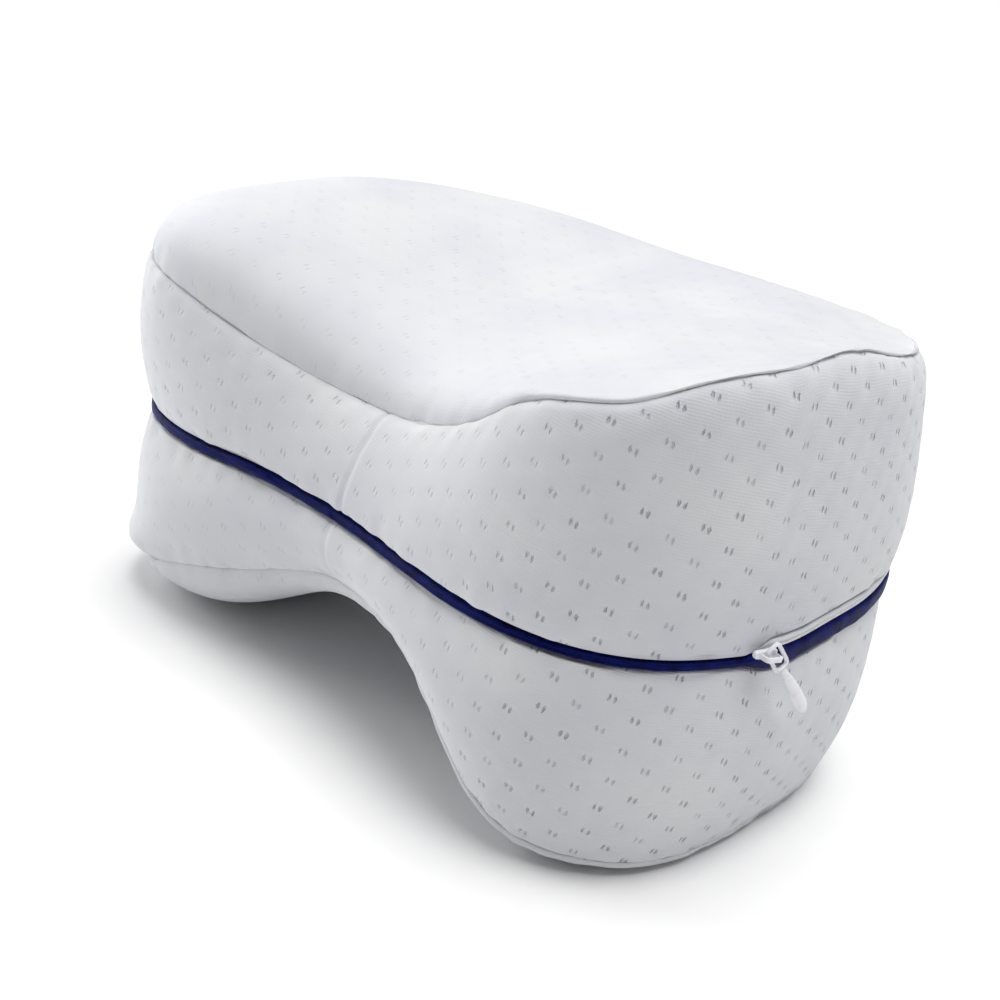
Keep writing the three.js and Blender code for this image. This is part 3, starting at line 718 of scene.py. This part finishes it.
# %% [markdown]
# The piping is a bias strip of blue satin folded over a cord. The fold leaves a crease along
# its face, so the section is an oval with a shallow groove. Past the slider the same strip is
# pressed flat and becomes the flap under the zip.

# %% Strips that run along the piping's line
STRIP_COLUMNS = 1440
SECTION_POINTS = 20
SECTION_TURN = (np.arange(SECTION_POINTS) + 0.5) / SECTION_POINTS * 2 * np.pi


def line_at(s):
    """Points and outward directions at any lengths along the piping, by interpolation."""
    wrapped = np.mod(s, PERIMETER)
    grid = np.append(along, PERIMETER)
    point = [np.interp(wrapped, grid, np.append(binding_line[:, k], binding_line[0, k]))
             for k in (0, 1)]
    away = [np.interp(wrapped, grid, np.append(outward[:, k], outward[0, k])) for k in (0, 1)]
    away = np.stack(away, axis=-1)
    return np.stack(point, axis=-1), away / np.linalg.norm(away, axis=-1, keepdims=True)


def strip_points(s, section):
    """Carries a section of (out, up) offsets, one for each length s, along the piping's line."""
    point, away = line_at(s)
    xy = point[:, None] + away[:, None] * section[..., :1] + PLAN_CENTRE
    height = binding_height(np.where(s > PERIMETER / 2, s - PERIMETER, s))
    return np.concatenate([xy, height[:, None, None] + section[..., 1:]], axis=-1)


def strip_piece(name, s, section, closed):
    """A closed solid from sections along the line: a loop, or a strip with a cap at each end."""
    rings = strip_points(s, section)
    rows, sides = rings.shape[:2]
    stack = np.concatenate([rings, rings[:1]]) if closed else rings
    quads = ring_quads(len(stack), sides)
    quads = np.where(quads >= rows * sides, quads - rows * sides, quads)
    run = np.append(s, s[-1] + (s[1] - s[0])) if closed else s
    loop = np.concatenate([section, section[:, :1]], axis=1)
    steps = np.linalg.norm(np.diff(loop, axis=1), axis=-1).mean(axis=0)
    girth = np.concatenate([[0], np.cumsum(steps)])
    pattern = np.stack(np.broadcast_arrays(run[:, None], girth[None]), axis=-1)
    quad_uv = np.stack([pattern[:-1, :-1], pattern[:-1, 1:], pattern[1:, 1:], pattern[1:, :-1]],
                       axis=2)
    points = rings.reshape(-1, 3)
    caps = np.zeros((0, 3), dtype=int)
    if not closed:
        points = np.concatenate([points, rings[:1].mean(axis=1), rings[-1:].mean(axis=1)])
        caps = pole_fans(rows, sides)
    cap_uv = np.zeros((len(caps), 3, 2))
    return new_piece(name, points, quads, caps, quad_uv.reshape(-1, 4, 2), cap_uv)


# %% Piping, with its crease and the flap at the zip
PIPING_OUT = -0.6 * MM
CREASE_DEPTH = 0.9 * MM
CREASE_HALF = 0.28           # half width of the crease, as a share of the strip's half height
GATHER_HEIGHT = 0.06 * MM
GATHER_LENGTHS = (3 * MM, 9 * MM)
CREASE_FADES = (90 * MM, 150 * MM)
CREASE_LOSS = 0.75           # share of the crease that is gone past those lengths
OVAL_POWER = 0.9
FLAP_SQUARING = 0.35         # the flap's section has squarer corners than the piping's
GATHER_WAVES = 24
GATHER_SEED = 5


def piping_section(s):
    """Oval: out is the depth times cos to a power, up the half height times sin to the same
    power. A bell of the height sinks the crease into the outer face."""
    flat = zip_share(s)[:, None]
    power = OVAL_POWER - FLAP_SQUARING * flat
    half = blue_half(s)[:, None]
    out = BINDING_DEPTH * signed_power(np.cos(SECTION_TURN), power)
    up = half * signed_power(np.sin(SECTION_TURN), power)
    crease = CREASE_DEPTH * (1 - CREASE_LOSS * smooth(*CREASE_FADES, s))[:, None] * (1 - flat)
    out = out - crease * bell(up / half, CREASE_HALF) * (np.cos(SECTION_TURN) > 0)
    return np.stack([PIPING_OUT + out, up], axis=-1)


ring_s = np.arange(STRIP_COLUMNS) / STRIP_COLUMNS * PERIMETER
piping_shape = piping_section(ring_s)
spot = strip_points(ring_s, piping_shape)
gathers = waves(spot, GATHER_LENGTHS, GATHER_WAVES, GATHER_SEED) * GATHER_HEIGHT
piping_shape = piping_shape * (1 + gathers[..., None] / BINDING_DEPTH)
piping = strip_piece("piping", ring_s, piping_shape, closed=True)

# %% [markdown]
# The strip is sewn on in one round, and its two ends lap over each other on the far half of
# the front. The upper end shows as a thin strand that crosses the strip. A lens that follows
# the strip's line is enough for it.

# %% Where the piping's two ends lap
LAP_BEGINS = 675 * MM
LAP_ENDS = 702 * MM
LAP_RISE = 0.9 * MM
LAP_LIFT = 0.6 * MM
LAP_HALF = 1.4 * MM
LAP_SLANT = 1.2 * MM         # how far it crosses the strip from one end to the other
LAP_SINK = 0.35 * MM
LAP_TIPS = (0.02, 0.98)
LAP_FULLNESS = 0.6
LAP_STEPS = 60


def lap_section(s):
    """A lens over the strip's upper ridge: it thickens from nothing to the middle and back."""
    t = (s - s[0]) / (s[-1] - s[0])
    swell = np.sin(np.pi * np.clip(t, *LAP_TIPS))[:, None] ** LAP_FULLNESS
    out = BINDING_DEPTH + PIPING_OUT + LAP_RISE * swell * np.cos(SECTION_TURN)
    up = LAP_LIFT + LAP_HALF * swell * np.sin(SECTION_TURN) - LAP_SLANT * (t[:, None] - 0.5)
    return np.stack([out - LAP_SINK, up], axis=-1)


lap_s = np.linspace(LAP_BEGINS, LAP_ENDS, LAP_STEPS)
piping_lap = strip_piece("piping_lap", lap_s, lap_section(lap_s), closed=False)

# %% [markdown]
# Between the flap and the upper cover lie the woven tape of the zip and the hem of the cover,
# which is folded under. The coil is hidden beneath them. Each is a strip with a flat back, and
# both narrow to nothing where the slot closes.

# %% Zip tape and folded hem
ZIP_GAP = 0.2 * MM
TAPE_WIDTH = 1.3 * MM
HEM_WIDTH = 1.4 * MM
ZIP_BACK = -1.4 * MM
STRIP_RUN = (147.5 * MM, 463.5 * MM)
STRIP_STEPS = 420
TAPE_FACE = 0.6 * MM         # how far each strip's outer side swells
HEM_FACE = 1.1 * MM
TAPE_POWER = 0.6
HEM_POWER = 0.8
LEAST_SHARE = 0.05           # a strip's tip keeps this share of its width


def folded_section(s, low, width, face, power):
    """A flat loop of cloth: its outer side is a half oval, and its inner side is flat. Where
    the slot closes, it narrows and slips back under the lip."""
    depth = np.where(np.cos(SECTION_TURN) > 0, face, -ZIP_BACK)
    out = depth * signed_power(np.cos(SECTION_TURN), power)
    up = low + width / 2 * (1 + signed_power(np.sin(SECTION_TURN), power))
    share = np.maximum(zip_share(s), LEAST_SHARE)[:, None]
    up = blue_half(s)[:, None] + (up - FLAP_HALF) * share
    return np.stack([out * share + ZIP_BACK * (1 - share), up], axis=-1)


zip_s = np.linspace(*STRIP_RUN, STRIP_STEPS)
tape_low = FLAP_HALF + ZIP_GAP
hem_low = tape_low + TAPE_WIDTH + ZIP_GAP
tape_shape = folded_section(zip_s, tape_low, TAPE_WIDTH, TAPE_FACE, TAPE_POWER)
hem_shape = folded_section(zip_s, hem_low, HEM_WIDTH, HEM_FACE, HEM_POWER)
zip_tape = strip_piece("woven_zip_tape", zip_s, tape_shape, closed=False)
zip_hem = strip_piece("folded_zip_hem", zip_s, hem_shape, closed=False)

# %% [markdown]
# Now the finishes. A material is a small graph of nodes. One function adds any node, sets its
# options and joins its inputs, so each graph reads from top to bottom as a list of steps.

# %% Helpers for materials
def linear(hex_colour):
    """sRGB hex to linear light: c / 12.92 for dark values, ((c + 0.055) / 1.055)^2.4 for others."""
    values = [int(hex_colour[k:k + 2], 16) / 255 for k in (1, 3, 5)]
    return tuple(v / 12.92 if v <= 0.04045 else ((v + 0.055) / 1.055) ** 2.4 for v in values) + (1,)


def add(tree, kind, inputs=(), **settings):
    """Adds a node, sets its options, and sets or links its inputs. Returns its outputs."""
    node = tree.nodes.new("ShaderNode" + kind)
    for name, value in settings.items():
        setattr(node, name, value)
    for key, value in dict(inputs).items():
        if isinstance(value, bpy.types.NodeSocket):
            tree.links.new(value, node.inputs[key])
        else:
            node.inputs[key].default_value = value
    return node.outputs


def calc(tree, operation, *values):
    """The result of a Math node, from its values in order."""
    return add(tree, "Math", dict(enumerate(values)), operation=operation)[0]


def vector_calc(tree, operation, *values):
    """The same for vectors. A dot product and a length give a number."""
    result = add(tree, "VectorMath", dict(enumerate(values)), operation=operation)
    return result["Value" if operation in ("DOT_PRODUCT", "LENGTH") else 0]


def scaled(tree, vector, factor):
    """A vector times a number."""
    return add(tree, "VectorMath", {0: vector, "Scale": factor}, operation="SCALE")[0]


def cloth_noise(tree, uv, scale, detail=2.0):
    """Noise on the cloth's flat pattern, as a value and as a colour."""
    return add(tree, "TexNoise", {"Vector": uv, "Scale": scale, "Detail": detail},
               noise_dimensions="2D")


def ramp(tree, value, start=0.0, end=1.0, low=0.0, high=1.0, **settings):
    """low where the value is at the start, high at the end, and even or smooth between them."""
    return add(tree, "MapRange", {"Value": value, "From Min": start, "From Max": end,
                                  "To Min": low, "To Max": high}, **settings)[0]


def bump(tree, height, strength, distance, **inputs):
    """A surface direction that is tilted by a height."""
    return add(tree, "Bump", {"Height": height, "Strength": strength, "Distance": distance,
                              **inputs})["Normal"]


def blend(tree, factor, first, second):
    """A colour between two."""
    return add(tree, "Mix", {"Factor": factor, 6: first, 7: second}, data_type="RGBA")[2]


def surface(tree, colour, roughness, **inputs):
    """The principled shader, joined to the material's output. An underscore stands for the
    space in an input's name."""
    inputs = {key.replace("_", " "): value for key, value in inputs.items()}
    shader = add(tree, "BsdfPrincipled", {"Base Color": colour, "Roughness": roughness, **inputs})
    add(tree, "OutputMaterial", {"Surface": shader[0]})


def new_material(name):
    """An empty material graph."""
    material = bpy.data.materials.new(name)
    material.use_nodes = True
    material.node_tree.nodes.clear()
    print("material", name)
    return material, material.node_tree


# %% [markdown]
# The cover is double-knit polyester, an air-layer cloth. To the eye it is matt and white, with
# fine courses a millimetre apart, a little shine of loose fibre at grazing angles, and the
# paired ties, which look grey because light is lost in them.

# %% Double-knit polyester
COURSE = 0.85 * MM
WALE = 1.1 * MM
DASH_APART = 0.85 * MM       # from the middle of a pair to each dash
DASH_SLIP = 0.2 * MM         # one dash of a pair stands this much higher
DASH_HALF_WIDTH = 0.34 * MM
DASH_HALF_LENGTH = 0.95 * MM
DASH_SHAKE = 0.6 * MM        # how far the dashes' edges stray
DASH_FADES = (1.4, 0.25)     # distances, in half dashes, where a dash begins and is full
LEAST_FIRMNESS = 0.45
DASH_SUNK = 0.6 * MM
DASH_PAINTED_SHADE = 0.42
COURSE_DRIFT = 0.9 * MM
WALE_WEIGHT = 0.35           # against the courses' weight of 1
FUZZ_WEIGHT = 1.3
KNIT_RELIEF = 0.13 * MM
WAVE_TURNS = 2 * math.pi / 20    # a wave texture of scale 1 repeats after this length


def place_in_cell(tree, turned):
    """The number of the nearest tie and the way to it: lattice counts from whole ties, and what
    is left over is made back into lengths across and up."""
    column = vector_calc(tree, "DOT_PRODUCT", turned, (1 / TIE_COLUMN, 0, 0))
    step = vector_calc(tree, "DOT_PRODUCT", turned, (-0.5 / TIE_COLUMN, 1 / TIE_STEP, 0))
    lattice = add(tree, "CombineXYZ", {"X": column, "Y": step})[0]
    lattice = vector_calc(tree, "ADD", lattice, (0.5, 0.5, 0))
    inside = vector_calc(tree, "FRACTION", lattice)
    centred = vector_calc(tree, "SUBTRACT", inside, (0.5, 0.5, 0))
    across = vector_calc(tree, "DOT_PRODUCT", centred, (TIE_COLUMN, 0, 0))
    up = vector_calc(tree, "DOT_PRODUCT", centred, (TIE_STEP / 2, TIE_STEP, 0))
    return vector_calc(tree, "FLOOR", lattice), add(tree, "CombineXYZ", {"X": across, "Y": up})[0]


def paired_dashes(tree, uv, turned, figure):
    """1 on a dash and 0 off it: the distance from the dash on this side of the pair's middle,
    in half widths and half lengths. Some ties are firmer than others, by chance."""
    cell, offset = place_in_cell(tree, turned)
    wobble = cloth_noise(tree, uv, 900.0, 1.0)["Color"]
    shake = vector_calc(tree, "SUBTRACT", wobble, (0.5, 0.5, 0.5))
    offset = vector_calc(tree, "ADD", offset, scaled(tree, shake, DASH_SHAKE))
    parts = add(tree, "SeparateXYZ", {0: offset})
    height = calc(tree, "MULTIPLY", parts["Y"], calc(tree, "SIGN", parts["X"]))
    beside = calc(tree, "SUBTRACT", calc(tree, "ABSOLUTE", parts["X"]), DASH_APART)
    beside = calc(tree, "DIVIDE", beside, DASH_HALF_WIDTH)
    above = calc(tree, "DIVIDE", calc(tree, "ADD", height, DASH_SLIP), DASH_HALF_LENGTH)
    oval = add(tree, "CombineXYZ", {"X": beside, "Y": above})[0]
    distance = vector_calc(tree, "LENGTH", oval)
    dash = ramp(tree, distance, *DASH_FADES, interpolation_type="SMOOTHSTEP")
    chance = add(tree, "TexWhiteNoise", {"Vector": cell}, noise_dimensions="2D")["Value"]
    dash = calc(tree, "MULTIPLY", dash, ramp(tree, chance, low=LEAST_FIRMNESS))
    return calc(tree, "MULTIPLY", dash, figure)


def knit_courses(tree, uv, turned, figure):
    """Height of the knit: waves for courses and wales, which drift a little, and loose fibre."""
    drift = scaled(tree, cloth_noise(tree, uv, 120.0)["Color"], COURSE_DRIFT)
    wavy = vector_calc(tree, "ADD", turned, drift)
    courses, wales = (
        add(tree, "TexWave", {"Vector": wavy, "Scale": WAVE_TURNS / length},
            bands_direction=direction)["Fac"]
        for length, direction in ((COURSE, "Y"), (WALE, "X")))
    knit = calc(tree, "MULTIPLY_ADD", wales, WALE_WEIGHT, courses)
    knit = calc(tree, "MULTIPLY_ADD", cloth_noise(tree, uv, 1400.0)["Fac"], FUZZ_WEIGHT, knit)
    return calc(tree, "MULTIPLY", knit, ramp(tree, figure, low=0.25))


def double_knit_polyester():
    """Matt cloth with sheen. The knit and the sunk dashes tilt its surface, and both darken its
    colour with painted shade.
    """
    material, tree = new_material("double_knit_polyester")
    uv = add(tree, "UVMap", uv_map="cloth")["UV"]
    figure = add(tree, "Attribute", attribute_name="figure")["Fac"]
    turned = add(tree, "Mapping", {"Vector": uv, "Rotation": (0, 0, -TIE_TURN)})["Vector"]
    dash = paired_dashes(tree, uv, turned, figure)
    knit = knit_courses(tree, uv, turned, figure)
    fine = bump(tree, knit, 0.22, KNIT_RELIEF)
    normal = bump(tree, calc(tree, "MULTIPLY", dash, -1.0), 1.0, DASH_SUNK, Normal=fine)
    patch = ramp(tree, cloth_noise(tree, uv, 22.0, 3.0)["Fac"], 0.35, 0.65)
    cloth = blend(tree, patch, linear("#cfd1d7"), linear("#d7d8da"))
    # Painted shade: the cloth is up to 3.5 percent darker where the knit's height is low, in its
    # hollows.
    cloth = scaled(tree, cloth, ramp(tree, knit, 0.2, 1.9, low=0.965))
    # Painted shade: the sunk dashes are drawn grey with the shade that lies in them.
    dark = calc(tree, "MULTIPLY", dash, DASH_PAINTED_SHADE)
    surface(tree, blend(tree, dark, cloth, linear("#7e828c")), 0.92, Normal=normal,
            Sheen_Weight=0.25, Sheen_Roughness=0.45, Specular_IOR_Level=0.3)
    return material


cover_cloth = double_knit_polyester()

# %% [markdown]
# The piping and the flap are polyester satin, cut on the bias. Satin floats most of its
# threads on the face, so it has a soft lengthwise gloss. The gloss makes the ridges much
# lighter and leaves the hollows deep, and that highlight and shade is painted into the colour.

# %% Polyester satin
SATIN_RELIEF = 0.12 * MM
SATIN_THREAD = 0.45 * MM     # drawn about twice as coarse as the real thread, so that it shows


def polyester_satin():
    """Slanted threads and long soft creases tilt the surface; the creases paint its highlight and
    shade.
    """
    material, tree = new_material("polyester_satin")
    uv = add(tree, "UVMap", uv_map="cloth")["UV"]
    slanted = add(tree, "Mapping", {"Vector": uv, "Rotation": (0, 0, math.radians(45))})["Vector"]
    threads = add(tree, "TexWave", {"Vector": slanted, "Scale": WAVE_TURNS / SATIN_THREAD,
                                    "Distortion": 0.6})["Fac"]
    creases = cloth_noise(tree, uv, 260.0, 3.0)["Fac"]
    normal = bump(tree, calc(tree, "MULTIPLY_ADD", creases, 2.0, threads), 0.4, SATIN_RELIEF)
    # Painted highlight and shade: the crease noise makes the blue lighter on the ridges and deeper
    # in the hollows.
    tone = ramp(tree, creases, 0.3, 0.7)
    surface(tree, blend(tree, tone, linear("#030639"), linear("#07145e")), 0.42, Normal=normal,
            Specular_IOR_Level=0.05, Anisotropic=0.4)
    return material


blue_satin = polyester_satin()

# %% [markdown]
# The tape is plain white polyester, woven close and matt. Its threads are too fine to model, so
# a slanted wave and a speckle give the surface its grain.

# %% Woven polyester zip tape
TAPE_THREAD = 0.5 * MM
TAPE_RELIEF = 0.12 * MM


def woven_polyester_tape():
    """Matt tape: a slanted wave and a speckle tilt the surface, and the speckle sets its tone."""
    material, tree = new_material("woven_polyester_tape")
    uv = add(tree, "UVMap", uv_map="cloth")["UV"]
    lines = add(tree, "TexWave", {"Vector": uv, "Scale": WAVE_TURNS / TAPE_THREAD,
                                  "Distortion": 1.0}, bands_direction="DIAGONAL")["Fac"]
    speck = cloth_noise(tree, uv, 700.0)["Fac"]
    normal = bump(tree, calc(tree, "ADD", lines, speck), 0.5, TAPE_RELIEF)
    surface(tree, blend(tree, speck, linear("#d9dadb"), linear("#f0f0ee")), 0.8, Normal=normal,
            Sheen_Weight=0.2)
    return material


white_tape = woven_polyester_tape()

# %% [markdown]
# The slider and its pull are die-cast zinc under white lacquer. The lacquer is smooth and a
# little glossy, thinner and greyer where it is handled, and faintly uneven from the casting.

# %% Lacquered zinc
CASTING_RELIEF = 0.1 * MM


def lacquered_zinc():
    """Clear-coated paint: one noise for the casting's unevenness, and one for wear, which makes
    it greyer and rougher."""
    material, tree = new_material("lacquered_zinc")
    place = add(tree, "TexCoord")["Object"]
    cast = add(tree, "TexNoise", {"Vector": place, "Scale": 900.0, "Detail": 3.0})["Fac"]
    wear = add(tree, "TexNoise", {"Vector": place, "Scale": 240.0, "Detail": 4.0})["Fac"]
    colour = blend(tree, ramp(tree, wear, 0.5, 0.75), linear("#e9e9ee"), linear("#cfcfd8"))
    surface(tree, colour, ramp(tree, wear, low=0.28, high=0.45), Coat_Weight=0.4,
            Coat_Roughness=0.15, Normal=bump(tree, cast, 0.25, CASTING_RELIEF))
    return material


white_lacquer = lacquered_zinc()

# %% [markdown]
# Each surface now takes its material and the solid that it stands for. The slider and its pull
# are rigid and finished as they are, so they keep their solids and only change material.

# %% Give each piece its finish, its body and the node it stands for
def dress(piece, material, slot, *nodes):
    """Gives a piece its material, its rigid body and the solids that it replaces. slot is not used.
    """
    piece.data.materials.append(material)
    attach(piece, "root")
    if nodes:
        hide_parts(*nodes)


for body in (upper_cover, lower_cover):
    dress(body, cover_cloth, "cover", "cushion")
dress(piping, blue_satin, "piping", "binding")
dress(piping_lap, blue_satin, "piping", "binding_lap")
dress(zip_tape, white_tape, "tape", "zip_tape")
dress(zip_hem, cover_cloth, "cover", "zip_hem")
for node in ("zip_slider", "zip_pull"):
    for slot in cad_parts[node].material_slots:
        slot.material = white_lacquer

# %% [markdown]
# The object stands on seamless white paper. A wide window overhead lights the top and the paper
# alike. A soft light at the left fills the side that faces the camera, and a weak one at the
# back keeps the far rim bright. The paper itself throws much of the light that reaches the front.

# %% Floor
FLOOR_HALF = 30.0


def seamless_paper():
    """White paper without gloss, with a faint tone of fibre."""
    material, tree = new_material("seamless_paper")
    place = add(tree, "TexCoord")["Object"]
    fibre = add(tree, "TexNoise", {"Vector": place, "Scale": 60.0, "Detail": 2.0})["Fac"]
    surface(tree, blend(tree, fibre, linear("#ededed"), linear("#f0f0f0")), 1.0,
            Specular_IOR_Level=0.0)
    return material


floor_mesh = bpy.data.meshes.new("floor")
corners = [(x * FLOOR_HALF, y * FLOOR_HALF, 0) for x, y in ((-1, -1), (1, -1), (1, 1), (-1, 1))]
floor_mesh.from_pydata(corners, [], [(0, 1, 2, 3)])
floor_mesh.materials.append(seamless_paper())
floor = bpy.data.objects.new("floor", floor_mesh)
bpy.context.scene.collection.objects.link(floor)

# %% [markdown]
# A wide, even source is a sun with a broad angle, because its light is the same all over the
# floor. Two area lights make the softboxes.

# %% Lights
WORLD_LIGHT = 0.12
WINDOW_LIGHT = 3.42          # in watts per square metre, the same all over the floor
WINDOW_SPREAD = math.radians(52)
WINDOW_FROM = (0.1, 0.14, 1.0)
LEFT_PLACE = (-1.1, -0.38, 0.5)
LEFT_SIZE = 0.9
LEFT_POWER = 10.5
RIGHT_PLACE = (1.0, 0.6, 0.5)
RIGHT_SIZE = 0.9
RIGHT_POWER = 0.6
AIM = Vector((0.0, 0.0, 0.07))


def add_light(name, kind, place, energy, **settings):
    """A light at a place, turned so that it shines on the object."""
    data = bpy.data.lights.new(name, kind)
    data.energy = energy
    for key, value in settings.items():
        setattr(data, key, value)
    light = bpy.data.objects.new(name, data)
    light.location = place
    light.rotation_mode = "QUATERNION"
    light.rotation_quaternion = (Vector(place) - AIM).to_track_quat("Z", "Y")
    bpy.context.scene.collection.objects.link(light)


add_light("overhead_window", "SUN", WINDOW_FROM, WINDOW_LIGHT, angle=WINDOW_SPREAD)
add_light("left_softbox", "AREA", LEFT_PLACE, LEFT_POWER, size=LEFT_SIZE)
add_light("right_softbox", "AREA", RIGHT_PLACE, RIGHT_POWER, size=RIGHT_SIZE)

world = bpy.data.worlds.new("studio")
world.use_nodes = True
world.node_tree.nodes["Background"].inputs["Color"].default_value = (1, 1, 1, 1)
world.node_tree.nodes["Background"].inputs["Strength"].default_value = WORLD_LIGHT
bpy.context.scene.world = world
bpy.context.scene.view_settings.view_transform = "Standard"
